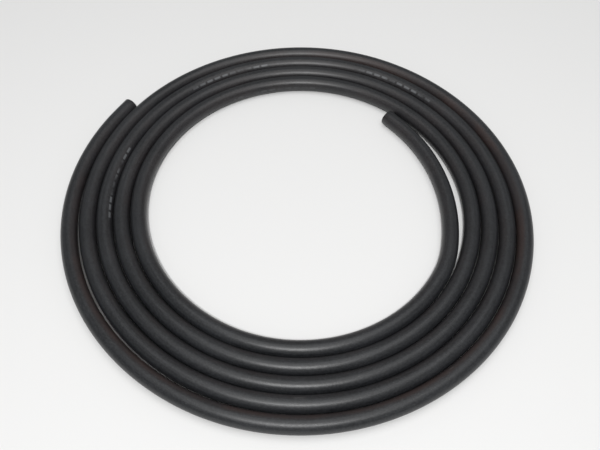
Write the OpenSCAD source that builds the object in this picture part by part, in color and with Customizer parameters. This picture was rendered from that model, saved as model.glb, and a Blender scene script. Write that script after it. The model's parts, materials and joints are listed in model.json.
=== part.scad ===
// Length of rubber air hose with bare, square-cut ends, laid flat as a
// single-layer spiral. Four layers are built up from the bore outwards: a
// rubber liner, two yarn plies spun opposite ways, and a rubber cover.

/* [Hose wall] */
// Bore of the liner, which takes the tail of a hose fitting
bore_d = 12.7; // [6:0.1:20]
// Wall of the rubber liner
liner_wall = 1.6; // [0.8:0.1:3]
// Thickness of each of the two yarn plies
ply_wall = 0.45; // [0.3:0.05:1]
// Wall of the rubber cover
cover_wall = 1.85; // [1:0.05:3]
// Depth of the flat that the cover lies on
flat_depth = 0.5; // [0.3:0.05:0.8]

/* [Coil] */
// Mean bend radius of the coil's outermost quarter turns
coil_radius = 305; // [280:0.5:360]
// Quarter turns in the coil, up to the bends of the inner end
quarter_turns = 18; // [9:1:20]
// Mean gap between one turn and the next
turn_gap = 0.7; // [0.7:0.1:4]

/* [Hand-wound shape] */
// Bend radius added on the two long sides of the coil and taken off the others
oval = 11; // [0:0.5:20]
// How far each turn lies to the left of the turn outside it
left_shift = 0.1; // [-0.2:0.1:0.2]
// How far each turn lies in front of the turn outside it
front_shift = 0.2; // [-0.2:0.1:0.2]
// Change of bend radius along the first quarter turns, which stand off a little
outer_bow = [-1.3, 1.3]; // [-1.5:0.1:1.5]
// Change of bend radius along the four bends that draw the inner end inwards
inner_bow = [-80, 44, 40, 11]; // [-80:1:60]

/* [Smoothness] */
// Facets in a full turn of the coil in a preview
turn_sides = 20; // [16:1:90]
// Sides of the round section in a preview
section_sides = 13; // [13:1:72]

/* [Hidden] */
deg_per_rad = 180 / PI;

// Each layer is seated on the one inside it.
bore_r = bore_d / 2;
liner_r = bore_r + liner_wall;
inner_ply_r = liner_r + ply_wall;
outer_ply_r = inner_ply_r + ply_wall;
hose_r = outer_ply_r + cover_wall;
hose_d = 2 * hose_r;
axis_height = hose_r - flat_depth;
straight_run = hose_d;
pitch = hose_d + turn_gap;

// The route is a chain of bends, each a tangent arc of a circle. Quarter
// turns come first, from the left side of the coil round by the front. Four
// shorter bends then draw the inner end inwards. Their joints stand at the
// headings of 7-24-25, 3-4-5 and 44-117-125 triangles, so that neighbouring
// bends meet in exact decimals.
start_quarter = 2;
end_joints = [[1, 0], [0.96, 0.28], [0.8, 0.6], [0.6, 0.8], [0.352, 0.936]];
end_bends = len(end_joints) - 1;
bend_count = quarter_turns + end_bends;
last_bend = bend_count - 1;
end_quarter = start_quarter + quarter_turns;

function heading_of(side) = atan2(side[1], side[0]);
function quarter_of(bend) = min(bend, quarter_turns);
function end_step(bend) = max(bend - quarter_turns, 0);

// A direction in the plane of the coil, turned by quarter turns
function turned(side, quarters) =
    quarters % 4 == 0 ? side
    : quarters % 4 == 1 ? [-side[1], side[0]]
    : quarters % 4 == 2 ? -side
    : [side[1], -side[0]];

// At the joint before a bend: the side of the coil that it lies on, and how
// far the hose has bent since its outer end
function joint_side(bend) = turned(end_joints[end_step(bend)], start_quarter + quarter_of(bend));
function bent_so_far(bend) = 90 * quarter_of(bend) + heading_of(end_joints[end_step(bend)]);

// Each turn's shift is shared out among its four quarters.
turn_shift = [-left_shift, -front_shift];
function quarter_radius(quarter) =
    coil_radius - pitch * quarter / 4
    + (quarter % 2 == 0 ? oval : -oval)
    + turn_shift * (turned(joint_side(0), quarter + 1) - turned(joint_side(0), quarter)) / 4;
plain_quarters = quarter_turns - len(outer_bow);
bows = concat(outer_bow, [for (quarter = [1 : plain_quarters]) 0], inner_bow);
bend_radii = [for (bend = [0 : last_bend]) quarter_radius(quarter_of(bend)) + bows[bend]];

// Two bends that meet share the line through both their centres.
function next_centre(centre, bend) =
    bend == last_bend ? centre
    : centre + (bend_radii[bend] - bend_radii[bend + 1]) * joint_side(bend + 1);
bend_centres = [
    for (bend = 0, centre = [0, 0]; bend < bend_count; centre = next_centre(centre, bend), bend = bend + 1)
        centre
];

// The middle of the coil is halfway between the outer turn's furthest sides.
function reach(quarter) = bend_centres[quarter] * joint_side(quarter) + bend_radii[quarter];
middle = [(reach(2) - reach(0)) / 2, (reach(3) - reach(1)) / 2];
function centre_of(bend) = bend_centres[bend] - middle;

// Mouths of the two straight ends
function forward(side) = [-side[1], side[0]];
outer_side = joint_side(0);
inner_side = joint_side(bend_count);
outer_mouth = centre_of(0) + bend_radii[0] * outer_side - straight_run * forward(outer_side);
inner_mouth = centre_of(last_bend) + bend_radii[last_bend] * inner_side + straight_run * forward(inner_side);

// Least gap from the hose to itself. Neighbouring turns are measured between
// points of the axis on the same side of the coil, and the inner mouth
// against every point of the turn outside it.
point_step = 3;
total_bend = bent_so_far(bend_count);
function bend_at(bent) = max([for (bend = [0 : last_bend]) if (bent_so_far(bend) <= bent) bend]);
function side_at(bent) = turned([cos(bent), sin(bent)], start_quarter);
function axis_point(bent) = let (bend = bend_at(bent)) centre_of(bend) + bend_radii[bend] * side_at(bent);
turn_gaps = [
    for (bent = [0 : point_step : total_bend - 360])
        (axis_point(bent) - axis_point(bent + 360)) * side_at(bent) - hose_d
];
mouth_gaps = [
    for (bent = [total_bend - 450 : total_bend - 270])
        norm(axis_point(bent) - inner_mouth) - hose_d
];
least_gap = min(concat(turn_gaps, mouth_gaps));

// Length along the axis, from mouth to mouth
bend_lengths = [
    for (bend = [0 : last_bend])
        bend_radii[bend] * (bent_so_far(bend + 1) - bent_so_far(bend)) / deg_per_rad
];
hose_length = bend_lengths * [for (length = bend_lengths) 1] + 2 * straight_run;
echo(least_gap = least_gap, hose_length = hose_length, hose_d = hose_d);
echo(outer_mouth = outer_mouth, inner_mouth = inner_mouth, axis_height = axis_height);

// Section of one layer. Only the cover reaches down to the flat.
module layer_section(outer_r, inner_r) {
    difference() {
        circle(r = outer_r, $fn = section_sides);
        circle(r = inner_r, $fn = section_sides);
        translate([-outer_r, -axis_height - outer_r]) square([2 * outer_r, outer_r]);
    }
}

// One layer along a quarter turn
module quarter_bend(radius, outer_r, inner_r) {
    rotate_extrude(angle = 90, $fn = turn_sides)
        translate([radius, 0])
            layer_section(outer_r, inner_r);
}

// One layer along one of the inner end's bends: a longer arc, cut to the
// sector between its two joints
module end_bend(step, radius, outer_r, inner_r) {
    from = heading_of(end_joints[step]);
    span = heading_of(end_joints[step + 1]) - from;
    far_corner = end_joints[step] + end_joints[step + 1];
    intersection() {
        rotate_extrude(start = from - span, angle = 3 * span, $fn = turn_sides)
            translate([radius, 0])
                layer_section(outer_r, inner_r);
        translate([0, 0, -hose_d])
            linear_extrude(height = 2 * hose_d)
                polygon(2 * coil_radius * [[0, 0], end_joints[step], far_corner, end_joints[step + 1]]);
    }
}

// One layer along a straight end, on the +X side of the coil's middle. The
// mouth is on the -Y side.
module straight_end(radius, outer_r, inner_r) {
    translate([radius, 0, 0])
        rotate([90, 0, 0])
            linear_extrude(height = straight_run)
                layer_section(outer_r, inner_r);
}

// Lays a piece out round the centre of a bend, at the height of the axis.
module round_centre(bend) {
    translate([centre_of(bend)[0], centre_of(bend)[1], axis_height]) children();
}

// One layer of the hose wall along the whole route, as a single tube
module layer(outer_r, inner_r) {
    round_centre(0)
        rotate([0, 0, 90 * start_quarter])
            straight_end(bend_radii[0], outer_r, inner_r);
    for (quarter = [0 : quarter_turns - 1])
        round_centre(quarter)
            rotate([0, 0, 90 * (start_quarter + quarter)])
                quarter_bend(bend_radii[quarter], outer_r, inner_r);
    for (bend = [quarter_turns : last_bend])
        round_centre(bend)
            rotate([0, 0, 90 * end_quarter])
                end_bend(end_step(bend), bend_radii[bend], outer_r, inner_r);
    round_centre(last_bend)
        rotate([0, 0, heading_of(inner_side)])
            mirror([0, 1, 0])
                straight_end(bend_radii[last_bend], outer_r, inner_r);
}

module liner() {
    color("#2a2a2c") layer(liner_r, bore_r);
}

module inner_ply() {
    color("#cfc9b8") layer(inner_ply_r, liner_r);
}

module outer_ply() {
    color("#bdb6a3") layer(outer_ply_r, inner_ply_r);
}

module cover() {
    color("#38383a") layer(hose_r, outer_ply_r);
}

liner();
inner_ply();
outer_ply();
cover();
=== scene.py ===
import json
import math
import random

import bpy
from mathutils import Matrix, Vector


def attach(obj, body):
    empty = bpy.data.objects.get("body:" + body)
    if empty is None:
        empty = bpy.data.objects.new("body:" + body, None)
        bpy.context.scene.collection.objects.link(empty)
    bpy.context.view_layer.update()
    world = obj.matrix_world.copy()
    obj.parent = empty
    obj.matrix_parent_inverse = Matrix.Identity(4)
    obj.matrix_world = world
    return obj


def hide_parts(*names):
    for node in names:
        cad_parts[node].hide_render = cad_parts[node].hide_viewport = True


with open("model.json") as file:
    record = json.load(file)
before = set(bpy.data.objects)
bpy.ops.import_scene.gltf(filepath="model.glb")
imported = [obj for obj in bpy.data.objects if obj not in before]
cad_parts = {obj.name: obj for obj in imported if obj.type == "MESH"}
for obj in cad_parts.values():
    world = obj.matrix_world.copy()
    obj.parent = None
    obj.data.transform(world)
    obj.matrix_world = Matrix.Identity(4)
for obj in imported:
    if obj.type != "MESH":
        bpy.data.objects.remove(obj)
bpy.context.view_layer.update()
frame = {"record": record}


# ---- Camera ----
# It stands at the front right of the coil and looks down on it at 54 degrees,
# through a normal lens.
CAMERA_PLACE = Vector((0.2878, -0.4861, 0.7337))
CAMERA_AIM = Vector((0.0210, -0.0227, 0))
CAMERA_ROLL = math.radians(-0.273)
LENS_MM = 41.48
SENSOR_MM = 36

bpy.ops.object.select_all(action="DESELECT")
bpy.ops.object.camera_add(location=CAMERA_PLACE)
camera = bpy.context.object
camera.rotation_euler = (CAMERA_AIM - CAMERA_PLACE).to_track_quat("-Z", "Y").to_euler()
camera.rotation_euler.rotate_axis("Z", CAMERA_ROLL)
camera.data.sensor_fit = "HORIZONTAL"
camera.data.sensor_width = SENSOR_MM
camera.data.lens = LENS_MM
bpy.context.scene.camera = camera


# ---- Liner ----
# The innermost layer is a smooth black rubber tube, extruded over a mandrel.
# It carries the air, and its bore takes the tail of a hose fitting.
mounts = {mount["name"]: mount for mount in frame["record"]["mounts"]}
HOSE_R = mounts["outer_clamp_seat"]["dims"]["r_mm"] / 1000
BORE_R = mounts["outer_end_bore"]["dims"]["r_mm"] / 1000
AXIS_HEIGHT = mounts["outer_end_bore"]["pos_m"][2]
LINER_WALL = 0.0016
LINER_R = BORE_R + LINER_WALL

# The hose lies flat as a single-layer spiral, wound inwards from its outer
# end. Each quarter turn is an arc that meets the next one's tangent, and four
# shorter arcs draw the inner end in towards the middle. Both ends run straight.
COIL_RADIUS = 0.305
TURN_GAP = 0.0007
PITCH = 2 * HOSE_R + TURN_GAP
QUARTER_TURN = math.pi / 2
QUARTER_TURNS = 18
START_QUARTER = 2
STRAIGHT_RUN = 2 * HOSE_R
INNER_JOINTS = ((1, 0), (0.96, 0.28), (0.8, 0.6), (0.6, 0.8), (0.352, 0.936))
END_JOINTS = [Vector(side) for side in INNER_JOINTS]

# It is wound by hand, so the coil is a little oval, and each turn lies
# slightly to the left and in front of the one outside it. The bows are what
# the bend radius gains where the first turn stands off, and along the inner end.
OVAL = 0.011
TURN_SHIFT = Vector((-0.0001, -0.0002))
OUTER_BOW = (-0.0013, 0.0013)
INNER_BOW = (-0.080, 0.044, 0.040, 0.011)
BOWS = (*OUTER_BOW, *[0] * (QUARTER_TURNS - len(OUTER_BOW)), *INNER_BOW)


def turned(side, quarters):
    """The direction, turned counter-clockwise by quarter turns."""
    x, y = side
    return Vector(((x, y), (-y, x), (-x, -y), (y, -x))[quarters % 4])


def joint_side(bend):
    """The side of the coil on which a bend starts."""
    step = max(bend - QUARTER_TURNS, 0)
    return turned(END_JOINTS[step], START_QUARTER + min(bend, QUARTER_TURNS))


def bent_so_far(bend):
    """How far the hose has bent where a bend starts, in radians."""
    step = max(bend - QUARTER_TURNS, 0)
    x, y = END_JOINTS[step]
    return QUARTER_TURN * min(bend, QUARTER_TURNS) + math.atan2(y, x)


def bend_radius(bend):
    """The bend radius of the hose's axis along a bend."""
    quarter = min(bend, QUARTER_TURNS)
    growth = turned(joint_side(0), quarter + 1) - turned(joint_side(0), quarter)
    stretch = OVAL if quarter % 2 == 0 else -OVAL
    return COIL_RADIUS - PITCH * quarter / 4 + stretch + TURN_SHIFT.dot(growth) / 4 + BOWS[bend]


bends = range(len(BOWS))
radii = [bend_radius(bend) for bend in bends]
spans = [bent_so_far(bend + 1) - bent_so_far(bend) for bend in bends]
centres = [Vector((0, 0))]
starts = [STRAIGHT_RUN]
for bend in bends[:-1]:
    centres.append(centres[bend] + (radii[bend] - radii[bend + 1]) * joint_side(bend + 1))
    starts.append(starts[bend] + radii[bend] * spans[bend])
HOSE_LENGTH = starts[-1] + radii[-1] * spans[-1] + STRAIGHT_RUN


def reach(quarter):
    """How far a quarter turn reaches out to the side that it starts on."""
    return centres[quarter].dot(joint_side(quarter)) + radii[quarter]


middle = Vector(((reach(2) - reach(0)) / 2, (reach(3) - reach(1)) / 2))


def on_axis(along):
    """The axis's point this far from the outer mouth, its outward side and its direction."""
    bend = max(sum(along >= start for start in starts) - 1, 0)
    bent = min(max((along - starts[bend]) / radii[bend], 0), spans[bend])
    heading = QUARTER_TURN * START_QUARTER + bent_so_far(bend) + bent
    side = Vector((math.cos(heading), math.sin(heading), 0))
    forward = Vector((-side.y, side.x, 0))
    straight = along - starts[bend] - radii[bend] * bent
    centre = (centres[bend] - middle).to_3d()
    point = centre + radii[bend] * side + straight * forward + Vector((0, 0, AXIS_HEIGHT))
    return point, side, forward


# A layer is a tube wall, closed by its two cut faces. The knife leaves the
# cuts a little wavy, and rounds their edges.
SIDES = 48
LONGEST_OUTER_STEP = 0.008
LONGEST_INNER_STEP = 0.016
EDGE_ROUNDING = 0.0002
ROUNDED_CORNER = 0.3
CUT_WAVE = 0.00012
SHARP_ANGLE = math.radians(40)
UV_LAYER = "along_and_round"


def steps_between(start, end, longest):
    """Even steps from start up to, but not at, the end."""
    count = math.ceil(abs(end - start) / longest)
    return [start + (end - start) * i / count for i in range(count)]


def wall_profile(outer_r, inner_r, rounding):
    """A wall's rings as (along, radius): out along the outside, and back through the bore."""
    near, far = rounding, HOSE_LENGTH - rounding
    corner = ROUNDED_CORNER * rounding
    return [
        *[(along, outer_r) for along in steps_between(near, far, LONGEST_OUTER_STEP)],
        (far, outer_r),
        (HOSE_LENGTH - corner, outer_r - corner),
        (HOSE_LENGTH, outer_r - rounding),
        (HOSE_LENGTH, inner_r + rounding),
        (HOSE_LENGTH - corner, inner_r + corner),
        *[(along, inner_r) for along in steps_between(far, near, LONGEST_INNER_STEP)],
        (near, inner_r),
        (corner, inner_r + corner),
        (0, inner_r + rounding),
        (0, outer_r - rounding),
        (corner, outer_r - corner),
    ]


def cut_wave(angle):
    """How far the knife strayed along the hose: two broad waves and five small ones round a cut."""
    return CUT_WAVE * (math.sin(2 * angle + 1) + 0.5 * math.sin(5 * angle))


def in_wall(along, ring_r, turn):
    """A point of the wall: a distance along, a radius, and turns round from the underside."""
    point, side, forward = on_axis(along)
    angle = math.tau * turn - QUARTER_TURN
    place = point + ring_r * (math.cos(angle) * side + Vector((0, 0, math.sin(angle))))
    if min(along, HOSE_LENGTH - along) < LONGEST_OUTER_STEP / 2:
        place += cut_wave(angle) * forward
    place.z = max(place.z, 0)
    return place


def layer_mesh(outer_r, inner_r, rounding):
    """Points, faces and UVs of one layer. U is metres along the hose, and V is turns round it."""
    profile = wall_profile(outer_r, inner_r, rounding)
    points = [in_wall(along, ring_r, i / SIDES) for along, ring_r in profile for i in range(SIDES)]
    faces = []
    uvs = []
    for ring, (here, _) in enumerate(profile):
        next_ring = (ring + 1) % len(profile)
        there, _ = profile[next_ring]
        for i in range(SIDES):
            beside = (i + 1) % SIDES
            corners = ((ring, i), (next_ring, i), (next_ring, beside), (ring, beside))
            faces.append([row * SIDES + column for row, column in corners])
            turn, next_turn = i / SIDES, (i + 1) / SIDES
            uvs += [(here, turn), (there, turn), (there, next_turn), (here, next_turn)]
    return points, faces, uvs


def finished_layer(name, points, faces, uvs, finish, node):
    """One layer as an object at the origin, which stands for the CAD node."""
    mesh = bpy.data.meshes.new(name)
    mesh.from_pydata(points, [], faces)
    for loop, uv in zip(mesh.uv_layers.new(name=UV_LAYER).data, uvs):
        loop.uv = uv
    mesh.materials.append(finish)
    layer = bpy.data.objects.new(name, mesh)
    bpy.context.collection.objects.link(layer)
    bpy.ops.object.select_all(action="DESELECT")
    layer.select_set(True)
    bpy.context.view_layer.objects.active = layer
    bpy.ops.object.shade_smooth_by_angle(angle=SHARP_ANGLE)
    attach(layer, "root")
    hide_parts(node)
    return layer


# A Mix node's colour sockets share their names with those of its other kinds,
# so they are taken by number.
MIX_FACTOR, MIX_FIRST, MIX_SECOND, MIX_RESULT = 0, 6, 7, 2


class Value:
    """A shader socket, so that sums on values are written as plain expressions."""

    def __init__(self, tree, socket=None):
        self.tree = tree
        self.socket = socket

    def put(self, given, socket):
        """Links a value into a socket, or sets the socket to a number, vector or colour."""
        if isinstance(given, Value):
            self.tree.links.new(given.socket, socket)
        elif socket.type == "RGBA":
            socket.default_value = (*given, 1)
        else:
            socket.default_value = given

    def node(self, kind, settings=None, inputs=None, output=0):
        """A new node of this kind, with its settings made first and then its inputs."""
        made = self.tree.nodes.new("ShaderNode" + kind)
        for name, setting in (settings or {}).items():
            setattr(made, name, setting)
        for name, given in (inputs or {}).items():
            self.put(given, made.inputs[name])
        return Value(self.tree, made.outputs[output] if made.outputs else None)

    def maths(self, operation, first, second):
        return self.node("Math", {"operation": operation}, {0: first, 1: second})

    def __add__(self, other):
        return self.maths("ADD", self, other)

    __radd__ = __add__

    def __mul__(self, other):
        return self.maths("MULTIPLY", self, other)

    __rmul__ = __mul__

    def __sub__(self, other):
        return self.maths("SUBTRACT", self, other)

    def __rsub__(self, other):
        return self.maths("SUBTRACT", other, self)

    def __mod__(self, other):
        return self.maths("FLOORED_MODULO", self, other)

    def __rmod__(self, other):
        return self.maths("FLOORED_MODULO", other, self)

    def lesser(self, other):
        return self.maths("MINIMUM", self, other)

    def rise(self, low, high):
        """0 below low, 1 above high, and smooth between them. With low above high, it falls."""
        inputs = {"Value": self, "From Min": low, "From Max": high}
        return self.node("MapRange", {"interpolation_type": "SMOOTHSTEP"}, inputs)

    def band(self, centre, half, soft):
        """1 within half of the centre, and falling to 0 over the soft distance beyond."""
        low, high = centre - half, centre + half
        return self.rise(low - soft, low) * self.rise(high + soft, high)

    def parts(self):
        """The first two parts of a vector, such as the metres along and the turns round."""
        return [self.node("SeparateXYZ", inputs={"Vector": self}, output=part) for part in "XY"]

    def mix(self, first, second):
        """The first colour where this value is 0, and the second where it is 1."""
        inputs = {MIX_FACTOR: self, MIX_FIRST: first, MIX_SECOND: second}
        return self.node("Mix", {"data_type": "RGBA"}, inputs, MIX_RESULT)

    def noise(self, scale, detail=2.0):
        """Noise at this place, with so many features a metre and levels of detail."""
        return self.node("TexNoise", inputs={"Vector": self, "Scale": scale, "Detail": detail})

    def streaks(self, a_metre, a_turn):
        """Noise on the UVs, drawn out along the hose."""
        scale = (a_metre, a_turn, 1)
        return self.node("Mapping", inputs={"Vector": self, "Scale": scale}).noise(1.0)

    def bump(self, strength, depth):
        """A bumped normal from this height."""
        inputs = {"Strength": strength, "Distance": depth, "Height": self}
        return self.node("Bump", inputs=inputs)


def material(name, finish):
    """A material of one Principled shader, whose inputs the finish gives."""
    made = bpy.data.materials.new(name)
    made.use_nodes = True
    made.node_tree.nodes.clear()
    root = Value(made.node_tree)
    shader = root.node("BsdfPrincipled", inputs=finish(root))
    root.node("OutputMaterial", inputs={"Surface": shader})
    return made


LINER_BLACK = (0.010, 0.010, 0.011)
LINER_GREY = (0.018, 0.018, 0.019)
LINER_STREAKS = (4, 60)
LINER_GRAIN = 1800.0
LINER_ROUGHNESS = 0.40
STREAK_ROUGHNESS = 0.15
LINER_BUMP = (0.3, 0.0001)


def liner_finish(root):
    streaks = root.node("UVMap", {"uv_map": UV_LAYER}).streaks(*LINER_STREAKS)
    grain = root.node("TexCoord", output="Object").noise(LINER_GRAIN)
    return {
        "Base Color": streaks.mix(LINER_BLACK, LINER_GREY),
        "Roughness": streaks * STREAK_ROUGHNESS + LINER_ROUGHNESS,
        "Normal": (grain + streaks).bump(*LINER_BUMP),
    }


liner_rubber = material("liner_rubber", liner_finish)
liner_shape = layer_mesh(LINER_R, BORE_R, EDGE_ROUNDING)
liner = finished_layer("liner_tube", *liner_shape, liner_rubber, "liner")


# ---- Yarn plies ----
# Two plies of yarn are spun round the liner, the inner one as a right-hand
# helix and the outer one as a left-hand helix. They hold the pressure, and
# they show only where the hose is cut, as rings of frayed ends.
PLY_WALL = 0.00045
INNER_PLY_R = LINER_R + PLY_WALL
OUTER_PLY_R = INNER_PLY_R + PLY_WALL
YARN_ENDS = 30
YARN_ANGLE = math.radians(54.7)

# Each yarn's end is a short strand that starts inside the ply and thins to its
# tip. The taper gives shares of its length and of its radius. The strays are
# shares of the way to the next strand and of the room in the ply, and a strand
# leans by a share of the yarns' twist.
STRAND_SIDES = 5
STRAND_R = 0.00011
STRAND_ROOT = 0.0003
STRAND_LENGTHS = (0.00025, 0.0006)
STRAND_TAPER = ((0, 1), (0.6, 0.8), (1, 0.35))
STRAND_LEANS = (0.2, 0.7)
SIDEWAYS_STRAY = 0.3
UPWARD_STRAY = 0.4
strands = random.Random(7)


def turns_a_metre(ring_r):
    """How many turns a yarn at this radius makes round the hose in a metre."""
    return math.tan(YARN_ANGLE) / (math.tau * ring_r)


def strand_points(mouth, outward, ring_r, turn, lean, length):
    """A strand's rings of points, from its root to its tip."""
    outline = [(-STRAND_ROOT, 1), *[(share * length, thin) for share, thin in STRAND_TAPER]]
    points = []
    for out, thin in outline:
        bent_turn = turn + lean * max(out, 0)
        for i in range(STRAND_SIDES):
            angle = math.tau * i / STRAND_SIDES
            across = STRAND_R * thin * math.cos(angle) / (math.tau * ring_r)
            up = STRAND_R * thin * math.sin(angle)
            points.append(in_wall(mouth + outward * out, ring_r + up, bent_turn + across))
    return points


def strand_faces(first, outward):
    """A strand's sides, root and tip, which turn round where it grows backwards."""
    rings = [
        [first + ring * STRAND_SIDES + i for i in range(STRAND_SIDES)]
        for ring in range(len(STRAND_TAPER) + 1)
    ]
    faces = []
    for ring, next_ring in zip(rings, rings[1:]):
        for i in range(STRAND_SIDES):
            beside = (i + 1) % STRAND_SIDES
            corners = (ring[i], ring[beside], next_ring[beside], next_ring[i])
            faces.append(corners[::outward])
    faces.append(rings[0][::-outward])
    faces.append(rings[-1][::outward])
    return faces


def ply_mesh(outer_r, inner_r, hand):
    """A ply's wall, with its yarns' frayed ends standing out of both cuts."""
    points, faces, uvs = layer_mesh(outer_r, inner_r, EDGE_ROUNDING / 2)
    middle_r = (outer_r + inner_r) / 2
    room = PLY_WALL / 2 - STRAND_R
    for mouth, outward in ((0, -1), (HOSE_LENGTH, 1)):
        for end in range(YARN_ENDS):
            turn = (end + strands.uniform(-SIDEWAYS_STRAY, SIDEWAYS_STRAY)) / YARN_ENDS
            ring_r = middle_r + strands.uniform(-UPWARD_STRAY, UPWARD_STRAY) * room
            lean = hand * strands.uniform(*STRAND_LEANS) * outward * turns_a_metre(ring_r)
            length = strands.uniform(*STRAND_LENGTHS)
            new_faces = strand_faces(len(points), outward)
            points += strand_points(mouth, outward, ring_r, turn, lean, length)
            faces += new_faces
            uvs += [(mouth, turn)] * sum(len(face) for face in new_faces)
    return points, faces, uvs


# The yarns lie side by side. Each crown is painted lighter and the grooves between the yarns
# darker, as painted shade, and the crowns also give the bump.
YARN_LIT_CROWN = (0.56, 0.52, 0.44)
YARN_SHADED_GROOVE = (0.34, 0.31, 0.26)
CROWN_HALF = 0.15
CROWN_SOFT = 0.3
FIBRE_GRAIN = 4000.0
FIBRE_SHARE = 0.3
YARN_ROUGHNESS = 0.85
YARN_BUMP = (0.6, 0.0002)


def ply_finish(hand):
    """The finish of a ply whose yarns run as a right-hand helix, or for -1 a left-hand one."""
    twist = hand * turns_a_metre(INNER_PLY_R)

    def finish(root):
        along, turn = root.node("UVMap", {"uv_map": UV_LAYER}).parts()
        across_yarn = ((turn + along * twist) * YARN_ENDS) % 1.0
        # 1 on each yarn's crown and 0 in the grooves: it sets the painted shade in the grooves, and
        # the relief.
        crown_relief_and_shade = across_yarn.band(0.5, CROWN_HALF, CROWN_SOFT)
        fibre = root.node("TexCoord", output="Object").noise(FIBRE_GRAIN)
        crown_shade_and_fibre = crown_relief_and_shade * (1 - FIBRE_SHARE) + fibre * FIBRE_SHARE
        return {
            # Painted shade: the grooves get the darker colour and the crowns the lighter one, mixed
            # with the fibre grain.
            "Base Color": crown_shade_and_fibre.mix(YARN_SHADED_GROOVE, YARN_LIT_CROWN),
            "Roughness": YARN_ROUGHNESS,
            "Normal": (crown_relief_and_shade + fibre * FIBRE_SHARE).bump(*YARN_BUMP),
        }

    return finish


inner_yarn = material("inner_yarn", ply_finish(1))
inner_ply_shape = ply_mesh(INNER_PLY_R, LINER_R, 1)
inner_ply = finished_layer("inner_yarn_ply", *inner_ply_shape, inner_yarn, "inner_ply")
outer_yarn = material("outer_yarn", ply_finish(-1))
outer_ply_shape = ply_mesh(OUTER_PLY_R, INNER_PLY_R, -1)
outer_ply = finished_layer("outer_yarn_ply", *outer_ply_shape, outer_yarn, "outer_ply")


# ---- Cover ----
# The outside is a charcoal rubber cover, extruded over the yarn and cured
# onto it. Its weight presses it flat along its underside. It carries worn ink
# dashes, a little brown bloom, dust, and a few scuffs from handling.
COVER_EDGE_ROUNDING = 0.00035
RUBBER_BLACK = (0.0080, 0.0087, 0.0100)
RUBBER_GREY = (0.0270, 0.0288, 0.0320)

# The rubber's tone varies with the marks of drawing, with handling and with a
# fine speckle. Marks drawn out along the hose are given as features a metre and
# a turn, and other noises as features a metre and levels of detail.
DRAW_MARKS = (3, 26)
HANDLING = (9.0, 4.0)
SPECKLE = (420.0, 2.0)
GRAIN = (1100.0, 3.0)
PATCHES = (22.0, 3.0)
BROAD_CONTRAST = (0.35, 0.70)
FINE_CONTRAST = (0.35, 0.65)
DRAW_MARK_SHARE = 0.25
HANDLING_SHARE = 0.30
SPECKLE_SHARE = 0.45

# The bloom lies along the upper inward side, most of all on the first turn. It
# is stronger in the patches that hold the dust.
BLOOM_BROWN = (0.040, 0.021, 0.017)
BLOOM_TURN = 0.64
BLOOM_HALF_TURN = 0.05
BLOOM_SOFT_TURN = 0.09
BLOOM_MIDDLE = 0.90
BLOOM_HALF_LENGTH = 0.50
BLOOM_SOFT_LENGTH = 0.35
BLOOM_ON_FIRST_TURN = 0.42
BLOOM_EVERYWHERE = 0.16
BLOOM_PATCHINESS = 0.6

# A line of plain ink dashes comes in groups. It drifts slowly round the hose,
# and is worn off except in two stretches, given as middle, half length and
# strength.
INK_GREY = (0.115, 0.120, 0.126)
INK_STRENGTH = 0.9
INK_STRETCHES = ((3.46, 0.36, 1.0), (6.46, 0.10, 0.3))
INK_FADE = 0.06
INK_GROUP_START = 3.12
INK_GROUP_PITCH = 0.2733
INK_GROUP_LENGTH = 0.13
INK_GROUP_SOFT = 0.002
INK_WEAR = (40.0, 1.0)
INK_WEAR_CONTRAST = (0.25, 0.60)
DASH_PITCH = 0.0130
DASH_HALF_LENGTH = 0.0044
DASH_SOFT_LENGTH = 0.0006
DASH_TURN = 0.62
DASH_TURN_AT = 3.5
DASH_DRIFT = 0.04
DASH_HALF_TURN = 0.020
DASH_SOFT_TURN = 0.006

# Scuffs are patches of fine scratches, given as metres along, turns round,
# half length, half width in turns, and strength. Their inner part is full.
SCUFFS = (
    (2.484, 0.56, 0.0090, 0.040, 0.30),
    (2.452, 0.52, 0.0030, 0.012, 0.45),
    (0.850, 0.60, 0.0040, 0.020, 0.30),
    (0.800, 0.47, 0.0110, 0.012, 0.20),
    (4.230, 0.47, 0.0060, 0.015, 0.25),
    (1.500, 0.55, 0.0080, 0.018, 0.25),
    (5.300, 0.45, 0.0070, 0.015, 0.25),
)
SCUFF_FULL = 0.4
SCRATCHES = (220, 90)
SCRATCH_CONTRAST = (0.45, 0.60)
SCRATCH_SHARE = 0.8

DUST_GREY = (0.105, 0.106, 0.102)
DUST = (700.0, 1.0)
DUST_CONTRAST = (0.60, 0.80)
DUST_STRENGTH = 0.35

CUT_GREY = (0.030, 0.030, 0.030)
CUT_DEPTH = 0.0001

COVER_ROUGHNESS = 0.345
TONE_ROUGHNESS = 0.08
BLOOM_ROUGHNESS = 0.10
SCUFF_ROUGHNESS = 0.30
CUT_ROUGHNESS = 0.25
MARK_RELIEF = 0.6
SCUFF_RELIEF = 0.5
COVER_BUMP = (0.40, 0.0003)


def bloom_on(patches, along, turn):
    """How much brown bloom there is."""
    lengthwise = along.band(BLOOM_MIDDLE, BLOOM_HALF_LENGTH, BLOOM_SOFT_LENGTH)
    crosswise = turn.band(BLOOM_TURN, BLOOM_HALF_TURN, BLOOM_SOFT_TURN)
    patchy = patches * BLOOM_PATCHINESS + (1 - BLOOM_PATCHINESS)
    return crosswise * (lengthwise * BLOOM_ON_FIRST_TURN + BLOOM_EVERYWHERE) * patchy


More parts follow.
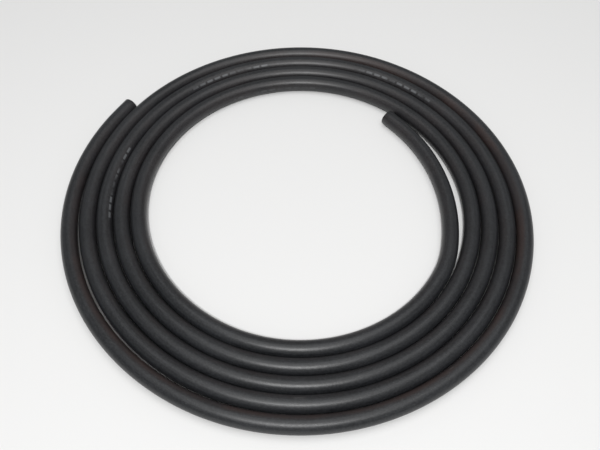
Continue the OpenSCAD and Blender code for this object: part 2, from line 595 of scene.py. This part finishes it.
def ink_on(place, along, turn):
    """How much ink is left of the dashes."""
    dashes = (along % DASH_PITCH).band(DASH_PITCH / 2, DASH_HALF_LENGTH, DASH_SOFT_LENGTH)
    level = turn - (along - DASH_TURN_AT) * DASH_DRIFT
    line = level.band(DASH_TURN, DASH_HALF_TURN, DASH_SOFT_TURN)
    into_group = (along - INK_GROUP_START) % INK_GROUP_PITCH
    group = into_group.rise(INK_GROUP_LENGTH + INK_GROUP_SOFT, INK_GROUP_LENGTH)
    wear = place.noise(*INK_WEAR).rise(*INK_WEAR_CONTRAST)
    kept = sum(
        along.band(middle_at, half, INK_FADE) * strength
        for middle_at, half, strength in INK_STRETCHES
    )
    return dashes * group * line * wear * kept


def scuffs_on(uv, along, turn):
    """How much the scuffs show."""
    scuffed = sum(
        along.band(middle_at, SCUFF_FULL * half, (1 - SCUFF_FULL) * half)
        * turn.band(round_at, SCUFF_FULL * wide, (1 - SCUFF_FULL) * wide)
        * strength
        for middle_at, round_at, half, wide, strength in SCUFFS
    )
    scratches = uv.streaks(*SCRATCHES).rise(*SCRATCH_CONTRAST)
    return scuffed * (scratches * SCRATCH_SHARE + (1 - SCRATCH_SHARE))


def cover_finish(root):
    place = root.node("TexCoord", output="Object")
    uv = root.node("UVMap", {"uv_map": UV_LAYER})
    along, turn = uv.parts()
    draw_marks = uv.streaks(*DRAW_MARKS)
    speckle = place.noise(*SPECKLE)
    tone = (
        draw_marks.rise(*BROAD_CONTRAST) * DRAW_MARK_SHARE
        + place.noise(*HANDLING).rise(*BROAD_CONTRAST) * HANDLING_SHARE
        + speckle.rise(*FINE_CONTRAST) * SPECKLE_SHARE
    )
    patches = place.noise(*PATCHES).rise(*FINE_CONTRAST)
    bloom = bloom_on(patches, along, turn)
    scuffs = scuffs_on(uv, along, turn)
    dust = place.noise(*DUST).rise(*DUST_CONTRAST) * patches
    cut = along.lesser(HOSE_LENGTH - along).rise(2 * CUT_DEPTH, CUT_DEPTH)

    colour = tone.mix(RUBBER_BLACK, RUBBER_GREY)
    for amount, mark_colour in (
        (bloom, BLOOM_BROWN),
        (ink_on(place, along, turn) * INK_STRENGTH, INK_GREY),
        (dust * DUST_STRENGTH, DUST_GREY),
        (scuffs, DUST_GREY),
        (cut, CUT_GREY),
    ):
        colour = amount.mix(colour, mark_colour)
    roughness = (
        tone * TONE_ROUGHNESS
        + COVER_ROUGHNESS
        + bloom * BLOOM_ROUGHNESS
        + scuffs * SCUFF_ROUGHNESS
        + cut * CUT_ROUGHNESS
    )
    height = place.noise(*GRAIN) + (speckle + draw_marks) * MARK_RELIEF + scuffs * SCUFF_RELIEF
    return {"Base Color": colour, "Roughness": roughness, "Normal": height.bump(*COVER_BUMP)}


cover_rubber = material("cover_rubber", cover_finish)
cover_shape = layer_mesh(HOSE_R, OUTER_PLY_R, COVER_EDGE_ROUNDING)
cover = finished_layer("cover_tube", *cover_shape, cover_rubber, "cover")
route = [on_axis(along)[0] for along in steps_between(0, HOSE_LENGTH, LONGEST_OUTER_STEP)]
route.append(on_axis(HOSE_LENGTH)[0])
2 * HOSE_R


# ---- Floor and light ----
# The coil lies on a plain pale floor in an evenly lit pale room. A small lamp
# stands above and behind the camera, and a wide one hangs over the coil.
FLOOR_SIZE = 12
FLOOR_GREY = (0.82, 0.82, 0.815)
FLOOR_ROUGHNESS = 0.6
ROOM_WHITE = (1, 1, 1, 1)
ROOM_LIGHT = 0.28

# Each lamp's place, width and watts
CAMERA_LAMP = (Vector((0.72, -1.52, 2.72)), 0.4, 56)
CEILING_LAMP = (Vector((0.15, 0.05, 2.8)), 3.0, 32)


def floor_finish(root):
    return {"Base Color": FLOOR_GREY, "Roughness": FLOOR_ROUGHNESS}


bpy.ops.object.select_all(action="DESELECT")
bpy.ops.mesh.primitive_plane_add(size=FLOOR_SIZE)
floor = bpy.context.object
floor.name = "floor"
floor.data.materials.append(material("pale_floor", floor_finish))

for lamp_place, width, watts in (CAMERA_LAMP, CEILING_LAMP):
    bpy.ops.object.light_add(type="AREA", location=lamp_place)
    lamp = bpy.context.object
    lamp.data.shape = "DISK"
    lamp.data.size = width
    lamp.data.energy = watts
    lamp.rotation_euler = (-lamp_place).to_track_quat("-Z", "Y").to_euler()

room = bpy.data.worlds.new("room")
bpy.context.scene.world = room
room.use_nodes = True
background = room.node_tree.nodes["Background"]
background.inputs["Color"].default_value = ROOM_WHITE
background.inputs["Strength"].default_value = ROOM_LIGHT
bpy.context.scene.view_settings.view_transform = "Standard"

bpy.context.view_layer.update()
